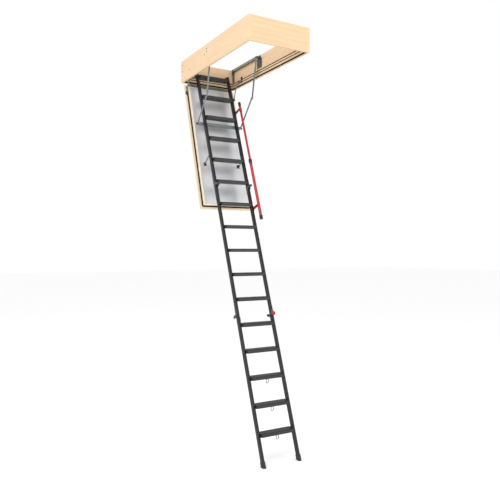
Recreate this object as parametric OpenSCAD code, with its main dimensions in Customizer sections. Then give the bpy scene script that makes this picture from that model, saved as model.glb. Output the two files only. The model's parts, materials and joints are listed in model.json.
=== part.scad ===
// Attic ladder: a timber casing for a ceiling opening, an insulated hatch, and a three-section
// folding metal ladder with a telescopic handrail, shown open and unfolded.
// X runs from the hinge end of the casing to its front end, Y across, Z up.
// The casing's underside, which is the ceiling line, lies at Z = 0.

/* [Casing] */
// Outer length of the casing
casing_l = 1372; // [1366:2:1480]
// Outer width of the casing
casing_w = 600; // [590:5:760]
// Height of the casing boards
casing_h = 210; // [200:5:280]
// Thickness of the casing boards
board_t = 18; // [15:1:21]
// Depth of the grooves that hold the casing seals
seal_groove = 5; // [4:0.5:6]
// How far a casing seal stands out of its groove
seal_proud = 1.5; // [1:0.5:2]

/* [Hatch] */
// Angle that the open hatch hangs below level
hatch_open = 73; // [70:1:75]
// Clearance between the hatch and the casing boards
hatch_gap = 4; // [3:0.5:6]
// Thickness of the hatch's lower board
hatch_board_t = 18; // [15:1:22]
// Height of the insulated core above the lower board
hatch_core_t = 24; // [20:1:26]
// Thickness of the metal sheet on the core
hatch_sheet_t = 3; // [1:0.5:4]
// Width of lower board left bare around the seal
hatch_margin = 16; // [12:1:24]
// Width of the hatch seal
hatch_seal_w = 12; // [8:1:16]
// Width of the core's frame that shows around the sheet
hatch_rim_w = 12; // [8:1:20]

/* [Ladder] */
// Angle of the unfolded ladder to the floor
ladder_tilt = 70; // [66:1:72]
// Number of treads in the upper section
treads_upper = 6; // [5:1:6]
// Number of treads in the middle section
treads_middle = 5; // [4:1:5]
// Number of treads in the lower section
treads_lower = 5; // [4:1:5]
// Spacing of the treads along the stiles
tread_pitch = 231.4; // [220:0.2:236]
// Depth of a tread from front to back
tread_depth = 78; // [60:1:80]
// Thickness of a tread
tread_t = 30; // [24:1:32]
// Outer width over the stiles
ladder_w = 370; // [340:5:380]
// Width of a stile, seen from the front
stile_w = 22; // [18:1:26]
// Depth of a stile, front to back
stile_d = 36; // [30:1:40]
// Wall thickness of a stile
stile_wall = 2; // [1.5:0.25:3]

/* [Handrail] */
// Outside diameter of the lower handrail tube
rail_d = 28; // [24:1:30]
// Outside diameter of the upper handrail tube
rail_inner_d = 22; // [18:1:22]
// Distance from the tread plane to the handrail's axis
rail_off = 83; // [78:1:90]

/* [Mechanism] */
// Width of the arm bars
arm_w = 22; // [16:1:26]
// Thickness of the arm bars
arm_t = 5; // [4:0.5:6]
// Length of an upper arm between its pivots
upper_arm_l = 390; // [385:1:400]
// Diameter of the pivot pins
pin_d = 10; // [8:0.5:12]
// Radial clearance of a pin in its bore
pin_gap = 0.08; // [0.05:0.01:0.1]
// Diameter of the hatch stays
stay_d = 8; // [6:0.5:9]

/* [Hidden] */
$fn = 48;

wood = [0.91, 0.79, 0.62];
rubber = [0.12, 0.10, 0.09];
zinc = [0.62, 0.65, 0.64];
dark_steel = [0.27, 0.30, 0.33];
coated = [0.22, 0.22, 0.23];
black = [0.08, 0.08, 0.08];
red = [0.75, 0.10, 0.12];

eps = 0.01;
// Overlap that makes two shapes of one solid merge
merge = 0.5;
// Step from a link's round end down to its straight side, so that they cross cleanly
link_ease = 0.06;

// Casing
half_w = casing_w / 2;
inner_half = half_w - board_t;
front_in = casing_l - board_t;

// Heights of the three casing seals: lowest and highest edge of each groove
low_seal_z = [4, 20];
mid_seal_z = [39, 47];
top_seal_z = [62, 71];

// Hatch hinge axis, below the hinge board
hinge_x = 1;
hinge_z = -8;
hinge_pin_r = 3;
knuckle_r = 5;
hinge_leaf_t = 3;
hinge_gap = 6;
hinge_pos = [-200, 0, 200];
strap_w = 60;
strap_reach = 60;

// Hatch, drawn in its closed place and then turned open
hatch_x0 = board_t + hinge_gap;
hatch_x1 = front_in - hatch_gap;
hatch_half = inner_half - hatch_gap;
seal_in = hatch_margin + hatch_seal_w;
rim_in = seal_in + hatch_rim_w;
core_top = hatch_board_t + hatch_core_t;
hatch_top = core_top + hatch_sheet_t;
hatch_seal_h = 10;
rail_strip_w = 22;
rail_strip_t = 2;

// Ladder: origin at the centre of the top tread, local X down the stiles, local Z out of the front
ladder_x = 116;
ladder_z = 51;
ladder_half = ladder_w / 2;
stile_in = ladder_half - stile_w;
stile_top = -48;
joint1_s = (treads_upper - 1) * tread_pitch + 43;
joint2_s = (treads_upper + treads_middle - 1) * tread_pitch + 152;
last_tread_s = (treads_upper + treads_middle + treads_lower - 1) * tread_pitch;
foot_s = last_tread_s + 256;
joint_gap = 4;
// Fold axes stand clear of the treads, in front at the upper joint and behind at the lower one
tread_reach = tread_depth / 2 * sin(ladder_tilt) + tread_t / 2 * cos(ladder_tilt);
fold_off = tread_reach + 3.5;
bracket_t = 12;

// Ladder pivot at the back of the stile tops, in ladder coordinates
pivot_s = -50;
pivot_n = -26;

// Crossbar behind the stiles
crossbar_s = 524;
crossbar_h = 22;
crossbar_d = 28;
crossbar_half = 236;
crossbar_n = -stile_d / 2 - crossbar_d / 2;

// Arms
arm_side_gap = 0.3;
arm_pivot_x = 570;
arm_pivot_z = 187;
lower_arm_y = crossbar_half + arm_side_gap;
upper_arm_y = lower_arm_y + arm_t + 1;
arm_outer_y = upper_arm_y + arm_t;

// Handrail
rail_y = ladder_half + 8 + rail_d / 2;
rail_top_s = 316;
rail_pivot_s = 380;
rail_low_pivot_s = 1429;
rail_collar_s = 952;
rail_end_s = 1561;
rail_overlap = 114;
rail_wall = 2;
rail_plate_t = 5;

// Struts between ladder and hatch, in ladder coordinates
strut_s = 880;
strut_n = 0;
strut_foot_x = 899;
strut_foot_z = 57;

// Stays beside the hatch, drawn open
stay_foot_u = 116;
stay_foot_z = 32;
stay_y = inner_half - 14;

// Spring rails along the side boards
spring_rail_z = [184, 207];
spring_rail_x = [36, 522];
spring_rail_y = inner_half - 23;
spring_rail_w = 16;
corner_leg_x = [22, 58];

// World place of a point given in ladder coordinates
function on_ladder_xz(s, n) = [
    ladder_x + s * cos(ladder_tilt) + n * sin(ladder_tilt),
    ladder_z - s * sin(ladder_tilt) + n * cos(ladder_tilt)
];
// World place, with the hatch open, of a point given with the hatch closed
function on_hatch_xz(x, z) = [
    hinge_x + (x - hinge_x) * cos(hatch_open) + (z - hinge_z) * sin(hatch_open),
    hinge_z - (x - hinge_x) * sin(hatch_open) + (z - hinge_z) * cos(hatch_open)
];

arm_end = on_ladder_xz(crossbar_s, crossbar_n);
arm_top = [arm_pivot_x, arm_pivot_z];
lower_arm_l = 343;
arm_span = norm(arm_end - arm_top);
arm_along = (upper_arm_l * upper_arm_l - lower_arm_l * lower_arm_l + arm_span * arm_span)
    / (2 * arm_span);
arm_aside = sqrt(upper_arm_l * upper_arm_l - arm_along * arm_along);
arm_dir = (arm_end - arm_top) / arm_span;
elbow = arm_top + arm_along * arm_dir + arm_aside * [-arm_dir[1], arm_dir[0]];

module on_ladder() {
    translate([ladder_x, 0, ladder_z]) rotate([0, ladder_tilt, 0]) children();
}

module on_hatch() {
    translate([hinge_x, 0, hinge_z]) rotate([0, hatch_open, 0])
        translate([-hinge_x, 0, -hinge_z]) children();
}

module both_sides() {
    children();
    mirror([0, 1, 0]) children();
}

// A box given by its lowest and highest corners
module span(a, b) {
    translate(a) cube(b - a);
}

// A rod along Y between two Y values at an X, Z place
module rod_y(x, z, y0, y1, r) {
    translate([x, y0, z]) rotate([-90, 0, 0]) cylinder(h = y1 - y0, r = r);
}

// A flat bar with round ends in the X-Z plane, between two places, from y0 to y1
module link(p, q, w, y0, y1) {
    run = norm(q - p);
    angle = atan2(q[1] - p[1], q[0] - p[0]);
    translate([p[0], 0, p[1]]) rotate([0, -angle, 0]) {
        rod_y(0, 0, y0, y1, w / 2);
        rod_y(run, 0, y0, y1, w / 2);
        translate([0, y0, -w / 2 + link_ease]) cube([run, y1 - y0, w - 2 * link_ease]);
    }
}

// A rectangular outline with round corners, centred
module round_rect(w, d, r) {
    square([w - 2 * r, d], center = true);
    square([w, d - 2 * r], center = true);
    for (x = [-1, 1], y = [-1, 1])
        translate([x * (w / 2 - r), y * (d / 2 - r)]) circle(r = r);
}

// Casing

module seal_ring(z, out, inward) {
    ring_x0 = board_t - out;
    ring_x1 = front_in + out;
    ring_y = inner_half + out;
    wide = out + inward;
    difference() {
        span([ring_x0, -ring_y, z[0]], [ring_x1, ring_y, z[1]]);
        span([ring_x0 + wide, -ring_y + wide, z[0] - 1], [ring_x1 - wide, ring_y - wide, z[1] + 1]);
    }
}

module seal_grooves() {
    for (z = [low_seal_z, mid_seal_z, top_seal_z]) seal_ring(z, seal_groove, merge);
}

// Places of the bolts that carry the ironwork, seen on each long board
function side_bolts() = [
    [33, 166], [33, 105], [205, 84],
    [arm_pivot_x + 22, 168], [arm_pivot_x + 22, 140], [arm_pivot_x - 24, 124]
];
bolt_r = 3;

module side_bolt_holes() {
    for (b = side_bolts()) rod_y(b[0], b[1], inner_half - 1, half_w + 1, bolt_r + pin_gap);
}

module long_board() {
    difference() {
        span([0, inner_half, 0], [casing_l, half_w, casing_h]);
        seal_grooves();
        side_bolt_holes();
    }
}

module casing_right_board() { color(wood) long_board(); }
module casing_left_board() { color(wood) mirror([0, 1, 0]) long_board(); }

module casing_hinge_board() {
    color(wood) difference() {
        span([0, -inner_half, 0], [board_t, inner_half, casing_h]);
        seal_grooves();
    }
}

module casing_front_board() {
    color(wood) difference() {
        span([front_in, -inner_half, 0], [casing_l, inner_half, casing_h]);
        seal_grooves();
    }
}

module lower_seal() { color(rubber) seal_ring(low_seal_z, seal_groove, seal_proud); }
module middle_seal() { color(rubber) seal_ring(mid_seal_z, seal_groove, seal_proud); }
module upper_seal() { color(rubber) seal_ring(top_seal_z, seal_groove, seal_proud); }

module casing_screws() {
    color(dark_steel) both_sides() for (b = side_bolts()) {
        rod_y(b[0], b[1], inner_half + merge, half_w, bolt_r);
        rod_y(b[0], b[1], half_w, half_w + 1.5, 2 * bolt_r);
    }
}

// Ironwork on the casing

plate_t = 4;
head_t = 4;

module pivot_plate() {
    plate_y = inner_half - plate_t;
    span([arm_pivot_x - 42, plate_y, 88], [arm_pivot_x + 44, inner_half, 178]);
    rod_y(arm_pivot_x, arm_pivot_z, plate_y, inner_half, 24);
    // Boss and pin that carry the upper arm
    rod_y(arm_pivot_x, arm_pivot_z, arm_outer_y + 1, plate_y + merge, 13);
    rod_y(arm_pivot_x, arm_pivot_z, upper_arm_y - 2, arm_outer_y + 2, pin_d / 2);
    rod_y(arm_pivot_x, arm_pivot_z, upper_arm_y - head_t, upper_arm_y - 1, pin_d / 2 + 3);
    // Bolt heads
    for (b = side_bolts()) if (b[0] > 400) rod_y(b[0], b[1], plate_y - head_t, plate_y + merge, 6);
}

module right_pivot_plate() { color(dark_steel) pivot_plate(); }
module left_pivot_plate() { color(dark_steel) mirror([0, 1, 0]) pivot_plate(); }

module spring_rail() {
    y0 = spring_rail_y;
    y1 = spring_rail_y + spring_rail_w;
    difference() {
        span([spring_rail_x[0], y0, spring_rail_z[0]], [spring_rail_x[1], y1, spring_rail_z[1]]);
        span(
            [spring_rail_x[0] - 1, y0 + 2, spring_rail_z[0] + 2],
            [spring_rail_x[1] + 1, y1 + 1, spring_rail_z[1] - 2]
        );
    }
    // Foot that ties the rail's far end to the side board
    span([spring_rail_x[1] - 12, y0, spring_rail_z[0]], [spring_rail_x[1], inner_half, spring_rail_z[0] + 2]);
}

module right_spring_rail() { color(zinc) spring_rail(); }
module left_spring_rail() { color(zinc) mirror([0, 1, 0]) spring_rail(); }

// A closed coil, drawn as touching turns
module coil_spring() {
    turns = 12;
    run_x = spring_rail_x[1] - 120 - (corner_leg_x[1] + 20);
    step = run_x / turns;
    y = spring_rail_y + spring_rail_w / 2 + 0.5;
    z = (spring_rail_z[0] + spring_rail_z[1]) / 2;
    translate([corner_leg_x[1] + 20, y, z]) rotate([0, 90, 0]) rotate_extrude($fn = 24) polygon(concat(
        [[0, 0]],
        [for (i = [0 : turns - 1]) for (p = [[5, 0.05], [6.5, 0.5], [5, 0.95]]) [p[0], (i + p[1]) * step]],
        [[0, run_x]]
    ));
    // Rods from the coil to its anchors
    translate([corner_leg_x[1] - 4, y, z]) rotate([0, 90, 0]) cylinder(h = 26, r = 2.5, $fn = 24);
    translate([corner_leg_x[1] + 18 + run_x, y, z]) rotate([0, 90, 0]) cylinder(h = 104, r = 2.5, $fn = 24);
    translate([spring_rail_x[1] - 4, y - 6, z - 8]) cube([3, 14, 16]);
}

module springs() { color(dark_steel) both_sides() coil_spring(); }

// Upright angle in each corner at the hinge end, which carries the spring rail
module spring_brackets() {
    color(dark_steel) both_sides() {
        difference() {
            span([corner_leg_x[0], inner_half - 4, 76], [corner_leg_x[1], inner_half, casing_h - 1]);
            span([36, inner_half - 5, 118], [46, inner_half + 1, 152]);
        }
        difference() {
            span(
                [corner_leg_x[1] - 4, spring_rail_y - 4, 150],
                [corner_leg_x[1], inner_half - 3, casing_h - 1]
            );
            span(
                [corner_leg_x[1] - 5, spring_rail_y - eps, spring_rail_z[0]],
                [corner_leg_x[1] + 1, spring_rail_y + spring_rail_w, spring_rail_z[1]]
            );
        }
    }
}

// Posts on the side boards that the stays run past
module stay_posts() {
    color(black) both_sides() {
        span([197, inner_half - 3, 73], [227, inner_half, 93]);
        span([213, inner_half - 9, 43], [225, inner_half - 3, 93]);
        span([216, inner_half - 4, 50], [222, inner_half, 59]);
    }
}

ear_t = 4;
ear_y = ladder_half + 1;
ladder_pin = on_ladder_xz(pivot_s, pivot_n);

module ladder_brackets() {
    color(dark_steel) both_sides() {
        difference() {
            span([board_t, ear_y, 74], [board_t + 4, ear_y + 34, 120]);
            for (z = [84, 110]) translate([board_t - 1, ear_y + 22, z]) rotate([0, 90, 0])
                cylinder(h = 6, r = 2.5, $fn = 24);
        }
        link([board_t + 14, ladder_pin[1]], ladder_pin, 28, ear_y, ear_y + ear_t);
        span([board_t, ear_y, ladder_pin[1] - 14], [board_t + 14, ear_y + ear_t, ladder_pin[1] + 14]);
        rod_y(ladder_pin[0], ladder_pin[1], stile_in - 4, ear_y + ear_t + 3, pin_d / 2);
    }
}

// Hatch hinge

module hinge_casing_leaf() {
    color(zinc) for (y = hinge_pos) difference() {
        union() {
            span([-knuckle_r + hinge_x, y - strap_w / 2, -hinge_leaf_t], [board_t, y + strap_w / 2, 0]);
            for (k = [-1, 1])
                rod_y(hinge_x, hinge_z, y + k * strap_w * 0.33 - 10, y + k * strap_w * 0.33 + 10, knuckle_r);
            for (k = [-1, 1])
                span(
                    [hinge_x - knuckle_r, y + k * strap_w * 0.33 - 10, hinge_z],
                    [hinge_x + knuckle_r, y + k * strap_w * 0.33 + 10, -hinge_leaf_t + merge]
                );
        }
        rod_y(hinge_x, hinge_z, y - strap_w, y + strap_w, hinge_pin_r);
    }
}

module hatch_hinge_pins() {
    color(zinc) for (y = hinge_pos) rod_y(hinge_x, hinge_z, y - strap_w / 2, y + strap_w / 2, hinge_pin_r);
}

module hatch_hinge_straps() {
    color(zinc) on_hatch() for (y = hinge_pos) {
        difference() {
            union() {
                rod_y(hinge_x, hinge_z, y - 9, y + 9, knuckle_r);
                span([hinge_x, y - 9, hinge_z - knuckle_r], [hatch_x0 + 4, y + 9, hinge_z - knuckle_r + 4]);
                span([hatch_x0, y - 9, hinge_z - knuckle_r], [hatch_x0 + 4, y + 9, 0]);
                span([hatch_x0, y - 9, -hinge_leaf_t], [hatch_x0 + strap_reach, y + 9, 0]);
            }
            rod_y(hinge_x, hinge_z, y - 10, y + 10, hinge_pin_r + pin_gap);
        }
    }
}

// Hatch, drawn closed and turned open

module hatch_ring(inset_out, inset_in, z0, z1) {
    difference() {
        span(
            [hatch_x0 + inset_out, -hatch_half + inset_out, z0],
            [hatch_x1 - inset_out, hatch_half - inset_out, z1]
        );
        span(
            [hatch_x0 + inset_in, -hatch_half + inset_in, z0 - 1],
            [hatch_x1 - inset_in, hatch_half - inset_in, z1 + 1]
        );
    }
}

module hatch_panel(inset, z0, z1) {
    span([hatch_x0 + inset, -hatch_half + inset, z0], [hatch_x1 - inset, hatch_half - inset, z1]);
}

module hatch_board() { color(wood) on_hatch() hatch_panel(0, 0, hatch_board_t); }

module hatch_seal() {
    color(rubber) on_hatch()
        hatch_ring(hatch_margin, seal_in, hatch_board_t, hatch_board_t + hatch_seal_h);
}

module hatch_frame() { color(wood) on_hatch() hatch_ring(seal_in, rim_in, hatch_board_t, core_top); }
module hatch_insulation() { color([0.9, 0.9, 0.88]) on_hatch() hatch_panel(rim_in, hatch_board_t, core_top); }
module hatch_sheet() { color(zinc) on_hatch() hatch_panel(rim_in, core_top, hatch_top); }

// Angle along the hinge end of the hatch, bridging over the seal
module hatch_hinge_rail() {
    rail_half = hatch_half - seal_in - 2;
    color(zinc) on_hatch() {
        span([hatch_x0, -rail_half, hatch_board_t], [hatch_x0 + 3, rail_half, hatch_top]);
        span(
            [hatch_x0, -rail_half, hatch_top],
            [hatch_x0 + rail_strip_w, rail_half, hatch_top + rail_strip_t]
        );
    }
}

stay_pin_r = 3;
stay_foot_x = hinge_x + stay_foot_u;

module stay_feet() {
    color(dark_steel) on_hatch() both_sides() {
        x0 = stay_foot_x - 16;
        x1 = stay_foot_x + 16;
        span([x0, stay_y + 5, hatch_board_t], [x1, stay_y + 8, stay_foot_z + 7]);
        span([x0, stay_y - 5, hatch_board_t], [x1, stay_y + 8, hatch_board_t + 3]);
        rod_y(stay_foot_x, stay_foot_z, stay_y - 6, stay_y + 6, stay_pin_r);
    }
}

strut_y = ladder_half + 1.5;
strut_t = 4;
strut_w = 16;
strut_pin_r = 4;

module strut_feet() {
    color(dark_steel) on_hatch() both_sides() {
        span([strut_foot_x - 18, strut_y - 16, hatch_top], [strut_foot_x + 18, strut_y + 10, hatch_top + 3]);
        span([strut_foot_x - 12, strut_y - 7, hatch_top], [strut_foot_x + 12, strut_y - 2, strut_foot_z + 9]);
        rod_y(strut_foot_x, strut_foot_z, strut_y - 3, strut_y + strut_t + 2, strut_pin_r);
    }
}

function stay_path() = [
    on_hatch_xz(stay_foot_x, stay_foot_z),
    [86, -72], [104, -27], [137, 28], [178, 49], [219, 55]
];

// A path with its corners cut once
function cut_corners(path) = concat(
    [path[0]],
    [for (i = [0 : len(path) - 2]) for (f = [0.25, 0.75]) path[i] * (1 - f) + path[i + 1] * f],
    [path[len(path) - 1]]
);

// Direction square to a path at one of its points
function path_side(path, i) =
    let (d = path[min(i + 1, len(path) - 1)] - path[max(i - 1, 0)])
    [-d[1], d[0]] / norm(d);

module hatch_stays() {
    path = cut_corners(cut_corners(stay_path()));
    n = len(path) - 1;
    color(black) both_sides() difference() {
        union() {
            translate([0, stay_y + stay_d / 2, 0]) rotate([90, 0, 0])
                linear_extrude(height = stay_d) polygon(concat(
                    [for (i = [0 : n]) path[i] + path_side(path, i) * stay_d / 2],
                    [for (i = [0 : n]) path[n - i] - path_side(path, n - i) * stay_d / 2]
                ));
            rod_y(path[0][0], path[0][1], stay_y - stay_d / 2, stay_y + stay_d / 2, 7);
            rod_y(path[n][0], path[n][1], stay_y - stay_d / 2, stay_y + stay_d / 2, stay_d / 2 + 1.5);
        }
        rod_y(path[0][0], path[0][1], stay_y - stay_d, stay_y + stay_d, stay_pin_r + pin_gap);
    }
}

module hatch_struts() {
    foot = on_hatch_xz(strut_foot_x, strut_foot_z);
    top = on_ladder_xz(strut_s, strut_n);
    color(dark_steel) both_sides() difference() {
        union() {
            link(foot, top, strut_w, strut_y, strut_y + strut_t);
            rod_y(top[0], top[1], strut_y + 1, strut_y + strut_t + 1.5, 6);
        }
        rod_y(foot[0], foot[1], strut_y - 1, strut_y + strut_t + 1, strut_pin_r + pin_gap);
    }
}

// Arms

module upper_arm() {
    difference() {
        link(arm_top, elbow, arm_w, upper_arm_y, arm_outer_y);
        rod_y(arm_top[0], arm_top[1], upper_arm_y - 1, arm_outer_y + 1, pin_d / 2 + pin_gap);
    }
    // Elbow pin
    rod_y(elbow[0], elbow[1], lower_arm_y - 2, arm_outer_y + 6, pin_d / 2);
    rod_y(elbow[0], elbow[1], lower_arm_y - head_t, lower_arm_y - 1, pin_d / 2 + 3);
}

module lower_arm() {
    difference() {
        link(elbow, arm_end, arm_w * 0.8, lower_arm_y, lower_arm_y + arm_t);
        rod_y(elbow[0], elbow[1], lower_arm_y - 1, lower_arm_y + arm_t + 1, pin_d / 2 + pin_gap);
    }
}

module right_upper_arm() { color(dark_steel) upper_arm(); }
module left_upper_arm() { color(dark_steel) mirror([0, 1, 0]) upper_arm(); }
module right_lower_arm() { color(dark_steel) lower_arm(); }
module left_lower_arm() { color(dark_steel) mirror([0, 1, 0]) lower_arm(); }

module arm_knobs() {
    color(black) both_sides()
        rod_y(arm_end[0], arm_end[1], lower_arm_y + arm_t, lower_arm_y + arm_t + 12, 9);
}

// Ladder

// One stile between two places down the ladder, on the right
module stile(s0, s1) {
    on_ladder() translate([s0, ladder_half - stile_w / 2, 0]) rotate([90, 0, 90])
        linear_extrude(height = s1 - s0) difference() {
            round_rect(stile_w, stile_d, 3, $fn = 24);
            square([stile_w - 2 * stile_wall, stile_d - 2 * stile_wall], center = true);
        }
}

module left_side() { mirror([0, 1, 0]) children(); }

tread_top_h = 3;
tread_ribs = 9;
tread_half = stile_in - bracket_t;
tread_wall = 2.5;

module tread_outline() {
    step = tread_depth / tread_ribs;
    top = tread_t / 2;
    polygon(concat(
        [[tread_depth / 2, -top], [-tread_depth / 2, -top]],
        [for (i = [0 : tread_ribs - 1]) for (p = [[0, -1], [0.2, 0], [0.8, 0], [1, -1]])
            [-tread_depth / 2 + (i + p[0]) * step, top + p[1] * tread_top_h]]
    ));
}

module tread() {
    hollow_x = tread_depth - 2 * tread_wall;
    hollow_z = tread_t - tread_top_h - 2 * tread_wall;
    rotate([0, -ladder_tilt, 0]) rotate([90, 0, 0])
        linear_extrude(height = 2 * tread_half, center = true) difference() {
            tread_outline();
            translate([0, -tread_top_h / 2]) square([hollow_x, hollow_z], center = true);
        }
}

module tread_bracket() {
    rotate([0, -ladder_tilt, 0]) translate([0, tread_half, 0]) rotate([-90, 0, 0])
        linear_extrude(height = bracket_t) round_rect(tread_depth, tread_t, 6, $fn = 24);
}

module treads(first, count) {
    on_ladder() for (i = [0 : count - 1]) translate([(first + i) * tread_pitch, 0, 0]) tread();
}

module tread_brackets(first, count) {
    on_ladder() both_sides() for (i = [0 : count - 1])
        translate([(first + i) * tread_pitch, 0, 0]) tread_bracket();
}

upper_end = joint1_s - joint_gap / 2;
middle_start = joint1_s + joint_gap / 2;
middle_end = joint2_s - joint_gap / 2;
lower_start = joint2_s + joint_gap / 2;
lug_r = 12;

// Upper stile with the lug behind its top that takes the ladder's pivot
module upper_stile() {
    difference() {
        union() {
            stile(stile_top, upper_end);
            on_ladder() {
                rod_y(pivot_s, pivot_n, stile_in, ladder_half, lug_r);
                span([pivot_s, stile_in, pivot_n], [pivot_s + 34, ladder_half, -stile_d / 2 + 1]);
                span([pivot_s - lug_r, stile_in, pivot_n], [pivot_s + 34, ladder_half, pivot_n + 9]);
                link([pivot_s, pivot_n], [pivot_s + 26, pivot_n], 2 * lug_r, stile_in, ladder_half);
            }
        }
        on_ladder() rod_y(pivot_s, pivot_n, stile_in - 1, ladder_half + 1, pin_d / 2 + pin_gap);
    }
}

module upper_right_stile() { color(coated) upper_stile(); }
module upper_left_stile() { color(coated) left_side() upper_stile(); }
module middle_right_stile() { color(coated) stile(middle_start, middle_end); }
module middle_left_stile() { color(coated) left_side() stile(middle_start, middle_end); }
module lower_right_stile() { color(coated) stile(lower_start, foot_s - 20); }
module lower_left_stile() { color(coated) left_side() stile(lower_start, foot_s - 20); }

middle_first = treads_upper;
lower_first = treads_upper + treads_middle;

module upper_treads() { color(coated) treads(0, treads_upper); }
module middle_treads() { color(coated) treads(middle_first, treads_middle); }
module lower_treads() { color(coated) treads(lower_first, treads_lower); }
module upper_tread_brackets() { color(black) tread_brackets(0, treads_upper); }
module middle_tread_brackets() { color(black) tread_brackets(middle_first, treads_middle); }
module lower_tread_brackets() { color(black) tread_brackets(lower_first, treads_lower); }

module crossbar() {
    color(zinc) on_ladder()
        span(
            [crossbar_s - crossbar_h / 2, -crossbar_half, crossbar_n - crossbar_d / 2],
            [crossbar_s + crossbar_h / 2, crossbar_half, crossbar_n + crossbar_d / 2]
        );
}

hinge_plate_t = 4;
hinge_w = 24;

// Lock knob on the front of the right stile, at the lower joint
lap_t = 3;
lap_reach = 16;
spindle_r = 4;
knob_y = ladder_half - 13;
knob_h = 22;

// A hinge plate on a stile: it runs from the stile at s to the fold axis at axis_s, axis_n
module hinge_plate(s_far, axis_s, axis_n, y0) {
    side = s_far < axis_s ? -1 : 1;
    near = axis_s + side * (joint_gap / 2 + 2);
    span([min(s_far, near), y0, -13], [max(s_far, near), y0 + hinge_plate_t, 13]);
    link([axis_s + side * 15, 0], [axis_s, axis_n], hinge_w, y0, y0 + hinge_plate_t);
}

module fold_pin(axis_s, axis_n, y_end) {
    rod_y(axis_s, axis_n, stile_in - hinge_plate_t - 2, y_end, pin_d / 2);
    rod_y(axis_s, axis_n, stile_in - hinge_plate_t - 5, stile_in - hinge_plate_t - 1, pin_d / 2 + 2);
}

module upper_hinge_plates() {
    color(dark_steel) on_ladder() both_sides() {
        hinge_plate(joint1_s - 78, joint1_s, fold_off, ladder_half);
        fold_pin(joint1_s, fold_off, ladder_half + hinge_plate_t + 2);
        // Stub that carries the lever
        rod_y(joint1_s - 40, 0, ladder_half + 1, ladder_half + hinge_plate_t + 5, 4);
    }
}

module middle_hinge_plates() {
    color(dark_steel) on_ladder() both_sides() {
        difference() {
            hinge_plate(joint1_s + 70, joint1_s, fold_off, stile_in - hinge_plate_t);
            rod_y(joint1_s, fold_off, stile_in - 10, stile_in + 1, pin_d / 2 + pin_gap);
        }
        hinge_plate(joint2_s - 70, joint2_s, -fold_off, ladder_half);
        fold_pin(joint2_s, -fold_off, ladder_half + hinge_plate_t + 2);
    }
    // Lap on the front of the right stile, with the spindle that carries the knob
    color(dark_steel) on_ladder() {
        span(
            [joint2_s - 36, stile_in + 1, stile_d / 2],
            [joint2_s + lap_reach, ladder_half - 1, stile_d / 2 + lap_t]
        );
        translate([joint2_s, knob_y, stile_d / 2 + lap_t - merge]) cylinder(h = knob_h - 2, r = spindle_r);
    }
}

module lower_hinge_plates() {
    color(black) on_ladder() both_sides() difference() {
        hinge_plate(joint2_s + 48, joint2_s, -fold_off, stile_in - hinge_plate_t);
        rod_y(joint2_s, -fold_off, stile_in - 10, stile_in + 1, pin_d / 2 + pin_gap);
    }
}

module joint_lever() {
    y0 = ladder_half + hinge_plate_t + 0.5;
    color(black) on_ladder() difference() {
        link([joint1_s - 40, 0], [joint1_s + 18, 9], 14, y0, y0 + 4);
        rod_y(joint1_s - 40, 0, y0 - 1, y0 + 5, 4 + pin_gap);
    }
}

module lock_knob() {
    color(red) on_ladder() translate([joint2_s, knob_y, stile_d / 2 + lap_t + 0.5]) difference() {
        union() {
            cylinder(h = 6, r = 12);
            translate([0, 0, 5]) cylinder(h = knob_h - 5, r = 17.5);
        }
        translate([0, 0, -1]) cylinder(h = knob_h - 1, r = spindle_r + pin_gap);
    }
}

// Feet, cut level with the floor
foot_wall = 2;
foot_h = 48;

module feet() {
    color(black) difference() {
        on_ladder() both_sides() difference() {
            span(
                [foot_s - foot_h, stile_in - foot_wall, -stile_d / 2 - foot_wall],
                [foot_s + 40, ladder_half + foot_wall, stile_d / 2 + foot_wall]
            );
            span([foot_s - foot_h - 1, stile_in, -stile_d / 2], [foot_s - 20, ladder_half, stile_d / 2]);
        }
        translate([on_ladder_xz(foot_s, 0)[0], 0, on_ladder_xz(foot_s, 0)[1] - 100])
            cube([400, 2 * casing_w, 200], center = true);
    }
}

loop_w = 25;
loop_h = 38;
loop_wire = 3;

module wire_loops() {
    color(zinc) on_ladder() for (i = [treads_lower - 3 : treads_lower - 1])
        translate([(lower_first + i) * tread_pitch, 0, 0]) rotate([0, -ladder_tilt, 0])
            translate([tread_depth / 2 - 16, 0, -tread_t / 2 - loop_h / 2]) rotate([90, 0, 90])
                linear_extrude(height = loop_wire, center = true) difference() {
                    round_rect(loop_w, loop_h, 12, $fn = 36);
                    round_rect(loop_w - 2 * loop_wire, loop_h - 2 * loop_wire, 9, $fn = 36);
                }
}

// Handrail, on the right

module along_rail(s0, s1, r) {
    translate([s0, rail_y, rail_off]) rotate([0, 90, 0]) cylinder(h = s1 - s0, r = r);
}

// A rail bracket on the right stile, reaching out to the handrail's pivot
module rail_bracket(s) {
    span([s - 26, ladder_half, -13], [s + 26, ladder_half + rail_plate_t, 15]);
    link([s, 0], [s, rail_off], 26, ladder_half, ladder_half + rail_plate_t);
}

boss_y = ladder_half + rail_plate_t + 0.5;

module handrail_top_bracket() { color(red) on_ladder() rail_bracket(rail_pivot_s); }

module handrail_low_bracket() {
    color(red) on_ladder() {
        rail_bracket(rail_low_pivot_s);
        rod_y(rail_low_pivot_s, rail_off, ladder_half + 1, ladder_half + rail_plate_t + 2.3, 5);
    }
}

module handrail_upper_tube() {
    color(red) on_ladder() difference() {
        union() {
            along_rail(rail_top_s, rail_collar_s + rail_overlap, rail_inner_d / 2);
            rod_y(rail_pivot_s, rail_off, boss_y, rail_y, 12);
            along_rail(rail_pivot_s - 20, rail_pivot_s + 20, rail_inner_d / 2 + 2.5);
        }
        along_rail(rail_top_s - 1, rail_collar_s + rail_overlap + 1, rail_inner_d / 2 - rail_wall);
    }
}

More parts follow.
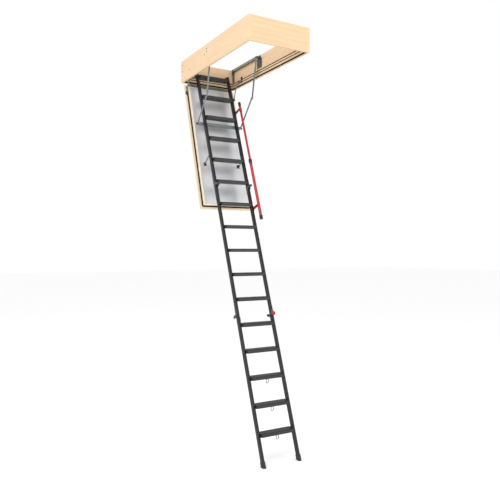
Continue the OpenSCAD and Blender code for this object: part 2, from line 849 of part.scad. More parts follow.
module handrail_top_cap() {
    color(black) on_ladder() difference() {
        along_rail(rail_top_s - 20, rail_top_s + 22, rail_inner_d / 2 + 2.5);
        along_rail(rail_top_s, rail_top_s + 23, rail_inner_d / 2);
    }
}

module handrail_lower_tube() {
    color(red) on_ladder() difference() {
        union() {
            along_rail(rail_collar_s, rail_end_s, rail_d / 2);
            rod_y(rail_low_pivot_s, rail_off, boss_y, rail_y, 12.5);
        }
        along_rail(rail_collar_s - 1, rail_end_s + 1, rail_d / 2 - rail_wall);
        rod_y(rail_low_pivot_s, rail_off, boss_y - 1, boss_y + 2.2, 5 + pin_gap);
    }
}

module handrail_collars() {
    color(black) on_ladder() {
        difference() {
            along_rail(rail_collar_s - 14, rail_collar_s + 26, rail_d / 2 + 2.5);
            along_rail(rail_collar_s - 15, rail_collar_s + 1, rail_inner_d / 2 + 0.1);
            along_rail(rail_collar_s, rail_collar_s + 27, rail_d / 2);
        }
        difference() {
            along_rail(rail_end_s - 30, rail_end_s + 5, rail_d / 2 + 2);
            along_rail(rail_end_s - 31, rail_end_s, rail_d / 2);
        }
    }
}

casing_left_board();
casing_right_board();
casing_hinge_board();
casing_front_board();
lower_seal();
middle_seal();
upper_seal();
casing_screws();
left_pivot_plate();
right_pivot_plate();
spring_brackets();
left_spring_rail();
right_spring_rail();
springs();
stay_posts();
ladder_brackets();
hinge_casing_leaf();
hatch_hinge_pins();
hatch_board();
hatch_seal();
hatch_frame();
hatch_insulation();
hatch_sheet();
hatch_hinge_straps();
hatch_hinge_rail();
stay_feet();
strut_feet();
hatch_stays();
hatch_struts();
left_upper_arm();
right_upper_arm();
left_lower_arm();
right_lower_arm();
arm_knobs();
upper_left_stile();
upper_right_stile();
upper_treads();
upper_tread_brackets();
crossbar();
upper_hinge_plates();
handrail_top_bracket();
joint_lever();
middle_left_stile();
middle_right_stile();
middle_treads();
middle_tread_brackets();
middle_hinge_plates();
handrail_low_bracket();
lock_knob();
lower_left_stile();
lower_right_stile();
lower_treads();
lower_tread_brackets();
lower_hinge_plates();
feet();
wire_loops();
handrail_upper_tube();
handrail_top_cap();
handrail_lower_tube();
handrail_collars();
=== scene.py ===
"""Attic ladder: finishes, small hardware, floor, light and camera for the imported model."""

import json
import logging
import math
from dataclasses import dataclass, field
from enum import Enum
from typing import Any, Optional, Sequence

import bpy
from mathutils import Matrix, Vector

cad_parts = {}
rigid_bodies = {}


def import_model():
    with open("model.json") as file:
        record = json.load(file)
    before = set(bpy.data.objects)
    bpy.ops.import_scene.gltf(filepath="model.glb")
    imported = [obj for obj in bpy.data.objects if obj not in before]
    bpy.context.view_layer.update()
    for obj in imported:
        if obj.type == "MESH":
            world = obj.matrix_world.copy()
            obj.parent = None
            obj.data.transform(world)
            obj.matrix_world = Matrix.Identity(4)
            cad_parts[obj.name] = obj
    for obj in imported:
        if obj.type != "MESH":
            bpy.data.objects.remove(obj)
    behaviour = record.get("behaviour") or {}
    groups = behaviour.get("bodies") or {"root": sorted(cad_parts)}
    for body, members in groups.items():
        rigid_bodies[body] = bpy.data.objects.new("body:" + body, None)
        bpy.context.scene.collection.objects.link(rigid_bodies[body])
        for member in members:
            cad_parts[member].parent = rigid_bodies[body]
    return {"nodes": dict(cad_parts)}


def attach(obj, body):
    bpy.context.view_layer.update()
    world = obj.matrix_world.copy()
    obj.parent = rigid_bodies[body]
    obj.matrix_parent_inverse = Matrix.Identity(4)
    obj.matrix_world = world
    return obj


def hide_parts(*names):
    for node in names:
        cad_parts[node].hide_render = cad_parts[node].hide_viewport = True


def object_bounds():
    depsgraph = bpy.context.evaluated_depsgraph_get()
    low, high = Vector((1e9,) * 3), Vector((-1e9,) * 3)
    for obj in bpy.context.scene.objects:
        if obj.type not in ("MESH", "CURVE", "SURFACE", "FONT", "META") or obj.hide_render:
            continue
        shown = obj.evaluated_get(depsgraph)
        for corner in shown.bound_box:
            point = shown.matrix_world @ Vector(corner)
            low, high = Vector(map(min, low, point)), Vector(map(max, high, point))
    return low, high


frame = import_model()
CAD_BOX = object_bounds()

log = logging.getLogger("attic_ladder")

Rgb = tuple[float, float, float]

# Ladder datum: centre of the top tread, slope of the stiles, tread spacing, all in metres
TREAD_ONE = Vector((0.116, 0.0, 0.051))
TILT = math.radians(70.0)
DOWN = Vector((math.cos(TILT), 0.0, -math.sin(TILT)))
PROUD = Vector((math.sin(TILT), 0.0, math.cos(TILT)))
PITCH = 0.2314
HATCH_SLOPE = math.radians(73.0)
HATCH_AXIS = Vector((0.001, 0.0, -0.008))


def down_the_ladder(along: float, proud: float, across: float) -> Vector:
    """Gives the world place of a point on the ladder.

    Args:
        along: Distance down the stiles from the top tread.
        proud: Distance out of the front.
        across: Distance towards the handrail side.

    Returns:
        The place, in metres.
    """
    return TREAD_ONE + DOWN * along + PROUD * proud + Vector((0.0, across, 0.0))


class Grain(Enum):
    """Which way timber grain runs."""

    LONG = "long"
    ACROSS = "across"
    HATCH = "hatch"


# Shader maths


class Value:
    """A shader socket that adds its own Math nodes when it is used in an expression."""

    def __init__(self, graph: "Graph", socket: Any) -> None:
        """Wraps a socket.

        Args:
            graph: The material graph that the socket belongs to.
            socket: The output socket.
        """
        self.graph = graph
        self.socket = socket

    def _math(self, operation: str, first: Any, second: Any) -> "Value":
        """Adds one Math node.

        Args:
            operation: The node's operation.
            first: First value.
            second: Second value.

        Returns:
            The result.
        """
        return self.graph.node("ShaderNodeMath", {"operation": operation}, {0: first, 1: second})

    def __add__(self, other: Any) -> "Value":
        """Adds."""
        return self._math("ADD", self, other)

    __radd__ = __add__

    def __sub__(self, other: Any) -> "Value":
        """Subtracts."""
        return self._math("SUBTRACT", self, other)

    def __rsub__(self, other: Any) -> "Value":
        """Subtracts this from a number."""
        return self._math("SUBTRACT", other, self)

    def __mul__(self, other: Any) -> "Value":
        """Multiplies."""
        return self._math("MULTIPLY", self, other)

    __rmul__ = __mul__

    def __mod__(self, other: Any) -> "Value":
        """Gives the remainder, never below zero."""
        return self._math("FLOORED_MODULO", self, other)

    def rises(self, low: float, high: float) -> "Value":
        """Gives 0 below low and 1 above high, and runs smoothly between them.

        Args:
            low: Where the rise starts.
            high: Where it ends.

        Returns:
            The mask.
        """
        return self.graph.node(
            "ShaderNodeMapRange",
            {"interpolation_type": "SMOOTHSTEP"},
            {"Value": self, "From Min": low, "From Max": high},
        )


class Graph:
    """A material's node tree, built by calls."""

    def __init__(self, name: str) -> None:
        """Starts a material.

        Args:
            name: The material's name.
        """
        self.material = bpy.data.materials.new(name)
        self.material.use_nodes = True
        self.tree = self.material.node_tree
        self.tree.nodes.clear()

    def node(
        self, kind: str, settings: Optional[dict[str, Any]] = None,
        inputs: Optional[dict[Any, Any]] = None, output: Any = 0
    ) -> Value:
        """Adds a node.

        Args:
            kind: The node's type.
            settings: Properties, set before the sockets are looked up.
            inputs: Values or links for sockets, by name or index.
            output: Which output to give back.

        Returns:
            The wrapped output.
        """
        made = self.tree.nodes.new(kind)
        for key, value in (settings or {}).items():
            if key == "stops":
                self._stops(made, value)
            else:
                setattr(made, key, value)
        for key, value in (inputs or {}).items():
            socket = made.inputs[key]
            if isinstance(value, Value):
                self.tree.links.new(value.socket, socket)
            else:
                socket.default_value = value
        return Value(self, made.outputs[output])

    @staticmethod
    def _stops(ramp: Any, stops: Sequence[tuple[float, Rgb]]) -> None:
        """Sets a colour ramp's stops.

        Args:
            ramp: The ramp node.
            stops: Pairs of place and colour.
        """
        points = ramp.color_ramp.elements
        while len(points) > 1:
            points.remove(points[-1])
        for count, (place, colour) in enumerate(stops):
            point = points[0] if count == 0 else points.new(place)
            point.position = place
            point.color = (*colour, 1.0)

    def place(self, stretch: Sequence[float] = (1.0, 1.0, 1.0), turn: float = 0.0) -> Value:
        """Gives object coordinates, turned about Y and stretched.

        Args:
            stretch: Scale on each axis.
            turn: Turn about Y in radians.

        Returns:
            The coordinates.
        """
        raw = self.node("ShaderNodeTexCoord", output="Object")
        turned = self.node("ShaderNodeMapping", {}, {"Vector": raw, "Rotation": (0.0, turn, 0.0)})
        return self.node("ShaderNodeMapping", {}, {"Vector": turned, "Scale": tuple(stretch)})

    def part(self, vector: Value, axis: str) -> Value:
        """Gives one part of a vector.

        Args:
            vector: The vector.
            axis: X, Y or Z.

        Returns:
            That part.
        """
        return self.node("ShaderNodeSeparateXYZ", {}, {0: vector}, axis)

    def noise(self, vector: Value, scale: float, detail: float = 3.0, rough: float = 0.5) -> Value:
        """Gives a noise value.

        Args:
            vector: Coordinates.
            scale: Scale of the noise.
            detail: Number of octaves.
            rough: Weight of the finer octaves.

        Returns:
            The noise, from 0 to 1.
        """
        inputs = {"Vector": vector, "Scale": scale, "Detail": detail, "Roughness": rough}
        return self.node("ShaderNodeTexNoise", {}, inputs)

    def mix(self, mask: Any, first: Any, second: Any) -> Value:
        """Mixes two colours.

        Args:
            mask: How much of the second.
            first: First colour.
            second: Second colour.

        Returns:
            The mixed colour.
        """
        def full(colour: Any) -> Any:
            """Adds alpha to a plain colour."""
            return colour if isinstance(colour, Value) else (*colour, 1.0)

        colours = {0: mask, 6: full(first), 7: full(second)}
        return self.node("ShaderNodeMix", {"data_type": "RGBA"}, colours, 2)

    def finish(
        self, colour: Value, rough: Any, metallic: float = 0.0, bump: Optional[Value] = None,
        depth: float = 0.0002, coat: float = 0.0, specular: float = 0.35
    ) -> bpy.types.Material:
        """Ends the tree in a surface.

        Args:
            colour: Base colour.
            rough: Roughness, a number or a value.
            metallic: How metallic the surface is.
            bump: Height, if any.
            depth: Depth of the bump in metres.
            coat: Weight of the clear coat.
            specular: Specular level.

        Returns:
            The finished material.
        """
        inputs: dict[str, Any] = {
            "Base Color": colour, "Roughness": rough, "Metallic": metallic,
            "Coat Weight": coat, "Specular IOR Level": specular,
        }
        if bump is not None:
            relief = {"Height": bump, "Distance": depth, "Strength": 1.0}
            inputs["Normal"] = self.node("ShaderNodeBump", {}, relief)
        surface = self.node("ShaderNodeBsdfPrincipled", {}, inputs)
        end = self.tree.nodes.new("ShaderNodeOutputMaterial")
        self.tree.links.new(surface.socket, end.inputs["Surface"])
        return self.material


# Finishes


@dataclass(frozen=True)
class Timber:
    """Sanded softwood with a clear finish."""

    name: str
    light: Rgb
    dark: Rgb
    grain: Grain = Grain.LONG

    def build(self) -> bpy.types.Material:
        """Makes the material.

        Returns:
            The material.
        """
        g = Graph(self.name)
        turn = HATCH_SLOPE if self.grain is Grain.HATCH else 0.0
        stretch = (11.0, 1.0, 11.0) if self.grain is Grain.ACROSS else (1.0, 11.0, 11.0)
        place = g.place(stretch, turn)
        figure = g.noise(place, 2.6, 5.0, 0.58)
        rings = g.node(
            "ShaderNodeTexWave", {"bands_direction": "Z", "wave_type": "BANDS"},
            {"Vector": place, "Scale": 0.7, "Distortion": 9.0, "Detail": 3.0, "Detail Scale": 0.5},
        )
        fibre = g.noise(g.place(tuple(v * 9.0 for v in stretch), turn), 5.0, 3.0, 0.6)
        blotch = g.noise(g.place((1.0, 1.0, 1.0), turn), 4.0, 2.0)
        mask = (rings * 0.12 + figure * 0.6 + fibre * 0.28).rises(0.25, 0.95)
        base = g.mix(mask, self.light, self.dark)
        aged = g.mix(blotch.rises(0.45, 0.8) * 0.25, base, self.dark)
        return g.finish(aged, fibre * 0.18 + 0.4, bump=fibre * 0.6 + rings * 0.25, depth=0.0003)


@dataclass(frozen=True)
class Coat:
    """Powder coat on metal, with faint texture and dust."""

    name: str
    body: Rgb
    worn: Rgb
    rough: float = 0.45
    grit: float = 900.0
    depth: float = 0.00012
    clear: float = 0.0

    def build(self) -> bpy.types.Material:
        """Makes the material.

        Returns:
            The material.
        """
        g = Graph(self.name)
        place = g.place()
        broad = g.noise(place, 7.0, 4.0)
        peel = g.noise(place, self.grit, 2.0)
        scuffs = g.noise(g.place((1.0, 1.0, 0.25)), 60.0, 6.0, 0.65)
        mask = scuffs.rises(0.62, 0.8) * 0.35 + broad.rises(0.35, 0.75) * 0.3
        colour = g.mix(mask, self.body, self.worn)
        sheen = broad * 0.16 + self.rough - 0.08
        return g.finish(colour, sheen, bump=peel, depth=self.depth, coat=self.clear)


@dataclass(frozen=True)
class TreadCoatWithPaintedShade:
    """Coated treads: the coat's own colour on the front, with painted shade darkening the ribbed top and the
    lower edge.
    """

    name: str
    # top and lower are painted shade: dark colours standing in for shade in the ribbed top's grooves and
    # under the lower edge; front is the coat's own colour.
    top: Rgb
    front: Rgb
    lower: Rgb
    rise: float = PITCH * math.sin(TILT)
    # Heights from each tread's centre where the painted shade bands over the top and under the lower edge
    # begin.
    top_shade_edge: float = 0.0085
    under_shade_edge: float = -0.0115

    def build(self) -> bpy.types.Material:
        """Makes the material.

        Returns:
            The material.
        """
        g = Graph(self.name)
        place = g.place()
        height = (g.part(place, "Z") - TREAD_ONE.z + self.rise / 2) % self.rise - self.rise / 2
        dust = g.noise(place, 12.0, 5.0, 0.6)
        grit = g.noise(place, 1100.0, 2.0)
        # Painted shade: a dark band below the lower edge, then a dark band over the ribbed top; the front
        # keeps the coat's colour.
        front = g.mix(height.rises(self.under_shade_edge - 0.001, self.under_shade_edge + 0.001), self.lower, self.front)
        coat_with_painted_shade = g.mix(height.rises(self.top_shade_edge - 0.001, self.top_shade_edge + 0.001), front, self.top)
        colour = g.mix(dust.rises(0.5, 0.8) * 0.3, coat_with_painted_shade, tuple(v * 1.7 for v in self.front))
        return g.finish(colour, dust * 0.2 + 0.36, bump=grit, depth=0.00015)


@dataclass(frozen=True)
class BareMetal:
    """Plated or brushed metal."""

    name: str
    body: Rgb
    streak: Rgb
    rough: float = 0.38
    metallic: float = 0.75
    turn: float = 0.0
    stretch: tuple[float, float, float] = (1.0, 40.0, 40.0)

    def build(self) -> bpy.types.Material:
        """Makes the material.

        Returns:
            The material.
        """
        g = Graph(self.name)
        brushed = g.noise(g.place(self.stretch, self.turn), 12.0, 4.0, 0.6)
        cloud = g.noise(g.place(), 9.0, 4.0)
        colour = g.mix(brushed.rises(0.3, 0.75) * 0.55 + cloud.rises(0.4, 0.8) * 0.3, self.body, self.streak)
        return g.finish(
            colour, cloud * 0.2 + brushed * 0.1 + self.rough - 0.15,
            self.metallic, bump=brushed, depth=0.00008,
        )


@dataclass(frozen=True)
class Moulded:
    """Moulded plastic or rubber, finely pebbled."""

    name: str
    body: Rgb
    bloom: Rgb
    rough: float = 0.6
    pebble: float = 1400.0

    def build(self) -> bpy.types.Material:
        """Makes the material.

        Returns:
            The material.
        """
        g = Graph(self.name)
        place = g.place()
        pebble = g.noise(place, self.pebble, 1.0)
        bloom = g.noise(place, 18.0, 5.0, 0.6)
        colour = g.mix(bloom.rises(0.4, 0.8) * 0.6, self.body, self.bloom)
        return g.finish(colour, bloom * 0.18 + self.rough - 0.09, bump=pebble, depth=0.00014)


class Finishes:
    """Every finish on the object, built once."""

    def __init__(self) -> None:
        """Builds the materials."""
        self.casing_long = Timber(
            "casing_timber_long", (0.745, 0.545, 0.345), (0.64, 0.44, 0.26)
        ).build()
        self.casing_end = Timber(
            "casing_timber_end", (0.725, 0.525, 0.325), (0.62, 0.425, 0.245), Grain.ACROSS
        ).build()
        self.hatch_edge = Timber(
            "hatch_timber", (0.77, 0.62, 0.44), (0.67, 0.51, 0.34), Grain.HATCH
        ).build()
        self.hatch_rim = Timber(
            "hatch_rim_timber", (0.90, 0.80, 0.62), (0.72, 0.60, 0.42), Grain.HATCH
        ).build()
        self.seal = Moulded("seal_rubber", (0.008, 0.005, 0.003), (0.020, 0.014, 0.008), 0.8).build()
        self.foam = Moulded("core_foam", (0.80, 0.80, 0.77), (0.66, 0.66, 0.63), 0.8, 500.0).build()
        self.sheet = BareMetal(
            "hatch_sheet_metal", (0.68, 0.68, 0.70), (0.54, 0.54, 0.56), 0.36, 0.45,
            HATCH_SLOPE, (0.6, 60.0, 60.0)
        ).build()
        self.zinc = BareMetal("zinc_plate", (0.27, 0.31, 0.30), (0.17, 0.20, 0.20), 0.42, 0.6).build()
        self.rail_steel = BareMetal(
            "spring_rail_steel", (0.26, 0.28, 0.22), (0.15, 0.16, 0.13), 0.45, 0.6
        ).build()
        self.dark = Coat("dark_steel_coat", (0.050, 0.060, 0.070), (0.10, 0.115, 0.13), 0.42).build()
        self.arm_steel = BareMetal("arm_steel", (0.21, 0.235, 0.23), (0.13, 0.15, 0.15), 0.40, 0.5).build()
        self.black_steel = Coat(
            "black_steel_coat", (0.014, 0.014, 0.015), (0.045, 0.045, 0.047), 0.45
        ).build()
        self.anthracite = Coat(
            "anthracite_coat", (0.0045, 0.005, 0.0055), (0.011, 0.0115, 0.012), 0.44
        ).build()
        # Tread colours: painted shade over the ribbed top, coat colour on the front, painted shade under the
        # lower edge.
        self.tread = TreadCoatWithPaintedShade(
            "tread_coat_painted_shade", (0.004, 0.004, 0.0045), (0.027, 0.028, 0.029), (0.003, 0.003, 0.0035)
        ).build()
        self.red = Coat(
            "red_coat", (0.38, 0.006, 0.010), (0.27, 0.005, 0.008), 0.32, 700.0, 0.00008, 0.35
        ).build()
        self.red_plastic = Moulded(
            "red_plastic", (0.34, 0.006, 0.010), (0.24, 0.005, 0.008), 0.42
        ).build()
        self.black_plastic = Moulded(
            "black_plastic", (0.012, 0.012, 0.013), (0.035, 0.035, 0.036), 0.55
        ).build()


def dress(names: Sequence[str], material: bpy.types.Material) -> None:
    """Gives CAD nodes a material.

    Args:
        names: Node names.
        material: The material.
    """
    for name in names:
        data = frame["nodes"][name].data
        data.materials.clear()
        data.materials.append(material)
        for face in data.polygons:
            face.material_index = 0


# Geometry nodes


class Tree:
    """A geometry node tree with named inputs."""

    def __init__(self, name: str) -> None:
        """Starts a tree.

        Args:
            name: The tree's name.
        """
        self.tree = bpy.data.node_groups.new(name, "GeometryNodeTree")
        self.tree.interface.new_socket("Geometry", in_out="OUTPUT", socket_type="NodeSocketGeometry")
        self.start = self.tree.nodes.new("NodeGroupInput")
        self.ids: dict[str, tuple[str, Any]] = {}

    def size(self, name: str, kind: str, value: Any) -> Any:
        """Adds a named input.

        Args:
            name: The input's name.
            kind: Float, Int or Vector.
            value: Its value on this piece.

        Returns:
            The socket that carries it.
        """
        made = self.tree.interface.new_socket(name, in_out="INPUT", socket_type="NodeSocket" + kind)
        self.ids[name] = (made.identifier, value)
        return next(s for s in self.start.outputs if s.identifier == made.identifier)

    def add(
        self, kind: str, inputs: Optional[dict[Any, Any]] = None,
        settings: Optional[dict[str, Any]] = None, output: int = 0
    ) -> Any:
        """Adds a node.

        Args:
            kind: Node type.
            inputs: Values or sockets for its inputs.
            settings: Properties, set first.
            output: Which output to give back.

        Returns:
            The output socket.
        """
        made = self.tree.nodes.new(kind)
        for key, value in (settings or {}).items():
            setattr(made, key, value)
        for key, value in (inputs or {}).items():
            many = value if isinstance(value, list) else [value]
            for one in many:
                if isinstance(one, bpy.types.NodeSocket):
                    self.tree.links.new(one, made.inputs[key])
                else:
                    made.inputs[key].default_value = one
        return made.outputs[output]

    def piece(self, name: str, geometry: Any, material: bpy.types.Material) -> bpy.types.Object:
        """Ends the tree and turns its result into a plain mesh object.

        Args:
            name: The piece's name.
            geometry: The geometry socket.
            material: The piece's material.

        Returns:
            The finished object, at the origin.
        """
        real = self.add("GeometryNodeRealizeInstances", {0: geometry})
        dressed = self.add("GeometryNodeSetMaterial", {"Geometry": real, "Material": material})
        end = self.tree.nodes.new("NodeGroupOutput")
        self.tree.links.new(dressed, end.inputs[0])
        carrier = bpy.data.objects.new(name + "_maker", bpy.data.meshes.new(name + "_maker"))
        bpy.context.scene.collection.objects.link(carrier)
        maker = carrier.modifiers.new("make", "NODES")
        maker.node_group = self.tree
        for identifier, value in self.ids.values():
            maker[identifier] = value
        bpy.context.view_layer.update()
        graph = bpy.context.evaluated_depsgraph_get()
        mesh = bpy.data.meshes.new_from_object(carrier.evaluated_get(graph))
        mesh.name = name
        if not mesh.materials:
            mesh.materials.append(material)
        bpy.data.objects.remove(carrier)
        made = bpy.data.objects.new(name, mesh)
        bpy.context.scene.collection.objects.link(made)
        log.info("piece %s: %d faces", name, len(mesh.polygons))
        return made


@dataclass
class SectionRivets:
    """Domed rivets through a section's stiles into its tread ends."""

    body: str
    first: int
    count: int
    outer: float = 0.185
    head: float = 0.0038
    spread: float = 0.009

    def build(self, material: bpy.types.Material) -> bpy.types.Object:
        """Makes the section's rivets as one piece.

        Args:
            material: The rivets' material.

        Returns:
            The piece.
        """
        t = Tree("rivets_" + self.body)
        radius = t.size("Head radius", "Float", self.head)
        step = t.size("Tread step", "Vector", tuple(DOWN * PITCH))
        dome = t.add("GeometryNodeMeshUVSphere", {"Segments": 10, "Rings": 6, "Radius": radius})
        flat = t.add("GeometryNodeTransform", {"Geometry": dome, "Scale": (1.0, 0.36, 1.0)})
        rows = []
        for side in (-1.0, 1.0):
            for shift in (-1.0, 1.0):
                place = down_the_ladder(self.first * PITCH + shift * self.spread, 0.0, side * self.outer)
                rows.append(t.add("GeometryNodeMeshLine", {
                    "Count": self.count, "Start Location": tuple(place), "Offset": step}))
        points = t.add("GeometryNodeJoinGeometry", {0: rows})
        heads = t.add("GeometryNodeInstanceOnPoints", {"Points": points, "Instance": flat})
        made = t.piece(self.body + "_rivets", heads, material)
        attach(made, self.body)
        return made


@dataclass
class BulbSeal:
    """A soft seal with rounded lips, run round a rectangle."""

    name: str
    node: str
    body: str
    length: float
    width: float
    thick: float
    high: float
    centre: tuple[float, float, float]
    turn: float = 0.0
    corner: float = 0.55
    lip_round: float = 0.3

    def build(self, material: bpy.types.Material) -> bpy.types.Object:
        """Makes the seal.

        Args:
            material: Rubber.

        Returns:
            The piece.
        """
        t = Tree(self.name)
        long = t.size("Length", "Float", self.length)
        wide = t.size("Width", "Float", self.width)
        run = t.add("GeometryNodeCurvePrimitiveQuadrilateral", {"Width": long, "Height": wide})
        eased = t.add("GeometryNodeFilletCurve", {
            "Curve": run, "Radius": self.thick * self.corner, "Count": 5}, {"mode": "POLY"})
        lip = t.add("GeometryNodeCurvePrimitiveQuadrilateral", {"Width": self.thick, "Height": self.high})
        soft = t.add("GeometryNodeFilletCurve", {
            "Curve": lip, "Radius": min(self.thick, self.high) * self.lip_round, "Count": 4},
            {"mode": "POLY"})
        swept = t.add("GeometryNodeCurveToMesh", {"Curve": eased, "Profile Curve": soft})
        placed = t.add("GeometryNodeTransform", {
            "Geometry": swept, "Translation": self.centre, "Rotation": (0.0, self.turn, 0.0)})
        made = t.piece(self.name, placed, material)
        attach(made, self.body)
        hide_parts(self.node)
        return made


@dataclass
class WireLoops:
    """Round-wire loops under the lowest treads."""

    treads: Sequence[int] = (13, 14, 15)
    wide: float = 0.022
    tall: float = 0.035
    wire: float = 0.0026
    under: float = 0.015
    forward: float = 0.023

    def build(self, material: bpy.types.Material) -> bpy.types.Object:
        """Makes the loops as one piece.

        Args:
            material: Their metal.

        Returns:
            The piece.
        """
        t = Tree("wire_loop_tree")
        thick = t.size("Wire radius", "Float", self.wire)
        run = t.add("GeometryNodeCurvePrimitiveQuadrilateral", {"Width": self.wide, "Height": self.tall})
        oval = t.add("GeometryNodeFilletCurve", {
            "Curve": run, "Radius": self.wide * 0.46, "Count": 8}, {"mode": "POLY"})
        ring = t.add("GeometryNodeCurvePrimitiveCircle", {"Resolution": 10, "Radius": thick})
        bent = t.add("GeometryNodeCurveToMesh", {"Curve": oval, "Profile Curve": ring})
        upright = t.add("GeometryNodeTransform", {
            "Geometry": bent, "Rotation": (math.pi / 2, 0.0, math.pi / 2)})
        low = (self.tall + 2 * self.wire) / 2 + self.under
        start = down_the_ladder(self.treads[0] * PITCH, 0.0, 0.0) + Vector((self.forward, 0.0, -low))
        row = t.add("GeometryNodeMeshLine", {
            "Count": len(self.treads), "Start Location": tuple(start), "Offset": tuple(DOWN * PITCH)})
        loops = t.add("GeometryNodeInstanceOnPoints", {"Points": row, "Instance": upright})
        made = t.piece("wire_loops_round", loops, material)
        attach(made, "lower_section")
        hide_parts("wire_loops")
        return made


@dataclass
class CoilSprings:
    """Wound springs inside the two spring rails, with hooked rods to their anchors."""

    start: float = 0.078
    end: float = 0.402
    turns: float = 96.0
    coil: float = 0.0054
    wire: float = 0.0011
    across: float = 0.2675
    height: float = 0.1955
    rod: float = 0.0025
    rod_start: float = 0.055
    rod_end: float = 0.520
    tuck: float = 0.006

    def build(self, material: bpy.types.Material) -> bpy.types.Object:
        """Makes both springs as one piece.

        Args:
            material: Their steel.

        Returns:
            The piece.
        """
        t = Tree("spring_tree")
        turns = t.size("Turns", "Float", self.turns)
        spiral = t.add("GeometryNodeCurveSpiral", {
            "Resolution": 12, "Rotations": turns, "Start Radius": self.coil, "End Radius": self.coil,
            "Height": self.end - self.start})
        ring = t.add("GeometryNodeCurvePrimitiveCircle", {"Resolution": 6, "Radius": self.wire})
        wound = t.add("GeometryNodeCurveToMesh", {"Curve": spiral, "Profile Curve": ring, "Fill Caps": True})
        laid = t.add("GeometryNodeTransform", {"Geometry": wound, "Rotation": (0.0, math.pi / 2, 0.0)})
        parts = []
        for side in (-1.0, 1.0):
            y = side * self.across
            parts.append(t.add("GeometryNodeTransform", {
                "Geometry": laid, "Translation": (self.start, y, self.height)}))
            near = (self.rod_start, self.start + self.tuck)
            far = (self.end - self.tuck, self.rod_end)
            for x0, x1 in (near, far):
                line = t.add("GeometryNodeCurvePrimitiveLine", {
                    "Start": (x0, y, self.height), "End": (x1, y, self.height)})
                rod = t.add("GeometryNodeCurvePrimitiveCircle", {"Resolution": 14, "Radius": self.rod})
                parts.append(t.add("GeometryNodeCurveToMesh", {
                    "Curve": line, "Profile Curve": rod, "Fill Caps": True}))
        both = t.add("GeometryNodeJoinGeometry", {0: parts})
        made = t.piece("spring_coils", both, material)
        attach(made, "casing")
        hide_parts("springs")
        return made


# Sub-assemblies


@dataclass
class Casing:
    """The timber casing with its seals, screws and ironwork."""

    length: float = 1.372
    board: float = 0.018
    half: float = 0.282
    groove: float = 0.005
    proud: float = 0.0015
    seals: dict[str, tuple[float, float]] = field(default_factory=lambda: {
        "lower_seal": (0.004, 0.020), "middle_seal": (0.039, 0.047), "upper_seal": (0.062, 0.071)})

    def build(self, f: Finishes) -> None:
        """Dresses the casing and makes its seals and springs.

        Args:
            f: The finishes.
        """
        dress(["casing_left_board", "casing_right_board"], f.casing_long)
        dress(["casing_hinge_board", "casing_front_board"], f.casing_end)
        dress(["casing_screws", "left_pivot_plate", "right_pivot_plate", "spring_brackets",
               "ladder_brackets", "springs"], f.dark)
        dress(["left_spring_rail", "right_spring_rail"], f.rail_steel)
        dress(["hinge_casing_leaf", "hatch_hinge_pins"], f.zinc)
        dress(["stay_posts"], f.black_steel)
        dress(list(self.seals), f.seal)
        thick = self.groove + self.proud
        shift = (self.proud - self.groove) / 2
        for node, (low, high) in self.seals.items():
            BulbSeal(
                node + "_bulb", node, "casing",
                self.length - 2 * self.board - 2 * shift, 2 * self.half - 2 * shift,
                thick, high - low, (self.length / 2, 0.0, (low + high) / 2),
            ).build(f.seal)
        CoilSprings().build(f.dark)


@dataclass
class Hatch:
    """The insulated hatch."""

    near: float = 0.024
    far: float = 1.350
    half: float = 0.278
    margin: float = 0.016
    seal_wide: float = 0.012
    seal_low: float = 0.018
    seal_high: float = 0.028

    def build(self, f: Finishes) -> None:
        """Dresses the hatch and makes its seal.

        Args:
            f: The finishes.
        """
        dress(["hatch_board"], f.hatch_edge)
        dress(["hatch_frame"], f.hatch_rim)
        dress(["hatch_insulation"], f.foam)
        dress(["hatch_sheet"], f.sheet)
        dress(["hatch_hinge_straps", "hatch_hinge_rail"], f.zinc)
        dress(["stay_feet", "strut_feet"], f.black_steel)
        dress(["hatch_struts", "hatch_stays"], f.arm_steel)
        dress(["hatch_seal"], f.seal)
        mid = Vector(((self.near + self.far) / 2, 0.0, (self.seal_low + self.seal_high) / 2)) - HATCH_AXIS
        c, s = math.cos(HATCH_SLOPE), math.sin(HATCH_SLOPE)
        place = HATCH_AXIS + Vector((mid.x * c + mid.z * s, 0.0, -mid.x * s + mid.z * c))
        inset = self.margin + self.seal_wide / 2
        BulbSeal(
            "hatch_seal_bulb", "hatch_seal", "hatch",
            self.far - self.near - 2 * inset, 2 * self.half - 2 * inset,
            self.seal_wide, self.seal_high - self.seal_low, tuple(place), HATCH_SLOPE,
        ).build(f.seal)


@dataclass
class Ladder:
    """The three ladder sections."""

    sections: dict[str, tuple[int, int]] = field(default_factory=lambda: {
        "upper": (0, 6), "middle": (6, 5), "lower": (11, 5)})

    def build(self, f: Finishes) -> None:
        """Dresses the sections and makes their rivets and loops.

        Args:
            f: The finishes.
        """
        for name, (first, count) in self.sections.items():
            dress([name + "_left_stile", name + "_right_stile"], f.anthracite)
            dress([name + "_treads"], f.tread)
            dress([name + "_tread_brackets"], f.black_plastic)
            SectionRivets(name + "_section", first, count).build(f.zinc)
        dress(["upper_hinge_plates", "middle_hinge_plates"], f.dark)
        dress(["lower_hinge_plates", "joint_lever"], f.black_steel)
        dress(["crossbar"], f.zinc)
        dress(["wire_loops"], f.black_steel)
        dress(["feet"], f.black_plastic)
        dress(["lock_knob"], f.red_plastic)
        WireLoops().build(f.black_steel)


@dataclass
class Handrail:
    """The telescopic handrail."""

    def build(self, f: Finishes) -> None:
        """Dresses the handrail.

        Args:
            f: The finishes.
        """
        dress(["handrail_upper_tube", "handrail_lower_tube", "handrail_top_bracket",
               "handrail_low_bracket"], f.red)
        dress(["handrail_top_cap", "handrail_collars"], f.black_plastic)


@dataclass
class Arms:
    """The guide arms between casing and ladder."""

    def build(self, f: Finishes) -> None:
        """Dresses the arms.

        Args:
            f: The finishes.
        """
        dress(["left_upper_arm", "right_upper_arm", "left_lower_arm", "right_lower_arm"], f.arm_steel)
        dress(["arm_knobs"], f.black_plastic)


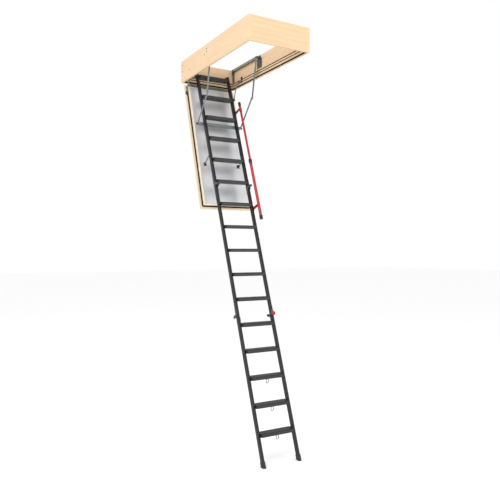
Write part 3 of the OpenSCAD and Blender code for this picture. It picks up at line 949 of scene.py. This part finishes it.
@dataclass
class Studio:
    """Floor, light and camera."""

    eye: tuple[float, float, float] = (5.3274, -2.5765, -1.6859)
    heading: float = 149.965
    lens: float = 41.0
    floor: float = 0.001
    reach: float = 40.0
    aim: tuple[float, float, float] = (0.6, 0.0, -1.3)

    def build(self) -> None:
        """Makes the floor, lights and camera."""
        scene = bpy.context.scene
        camera = bpy.data.cameras.new("camera")
        camera.lens = self.lens
        camera.sensor_width = 36.0
        camera.clip_start, camera.clip_end = 0.05, 200.0
        view = bpy.data.objects.new("camera", camera)
        scene.collection.objects.link(view)
        angle = math.radians(self.heading)
        view.location = self.eye
        view.rotation_mode = "QUATERNION"
        view.rotation_quaternion = Vector((math.cos(angle), math.sin(angle), 0.0)).to_track_quat("-Z", "Y")
        scene.camera = view

        low = CAD_BOX[0].z - self.floor
        mesh = bpy.data.meshes.new("floor")
        far = self.reach
        corners = [(-far, -far, low), (far, -far, low), (far, far, low), (-far, far, low)]
        mesh.from_pydata(corners, [], [(0, 1, 2, 3)])
        ground = bpy.data.objects.new("floor", mesh)
        scene.collection.objects.link(ground)
        g = Graph("floor_paint")
        mesh.materials.append(g.finish(
            g.mix(g.noise(g.place(), 0.6, 2.0) * 0.1, (0.97, 0.97, 0.97), (0.94, 0.94, 0.94)), 0.9))

        world = bpy.data.worlds.new("studio")
        world.use_nodes = True
        sky = world.node_tree.nodes["Background"]
        sky.inputs["Color"].default_value = (1.0, 1.0, 1.0, 1.0)
        sky.inputs["Strength"].default_value = 1.0
        scene.world = world
        scene.view_settings.view_transform = "Standard"
        self._lamp("key", (4.5, -5.5, 2.6), 4.0, 230.0)
        self._lamp("fill", (5.5, 3.5, -0.5), 4.0, 90.0)

    def _lamp(self, name: str, place: tuple[float, float, float], size: float, power: float) -> None:
        """Adds a soft square lamp aimed at the ladder.

        Args:
            name: The lamp's name.
            place: Where it stands.
            size: Its side.
            power: Its power in watts.
        """
        lamp = bpy.data.lights.new(name, "AREA")
        lamp.size = size
        lamp.energy = power
        made = bpy.data.objects.new(name, lamp)
        bpy.context.scene.collection.objects.link(made)
        made.location = place
        made.rotation_mode = "QUATERNION"
        made.rotation_quaternion = (Vector(self.aim) - Vector(place)).to_track_quat("-Z", "Y")


def main() -> None:
    """Builds everything."""
    logging.basicConfig(level=logging.INFO, format="%(name)s: %(message)s")
    finishes = Finishes()
    Studio().build()
    for assembly in (Casing(), Hatch(), Ladder(), Handrail(), Arms()):
        assembly.build(finishes)
        log.info("built %s", type(assembly).__name__)


if __name__ == "__main__":
    main()
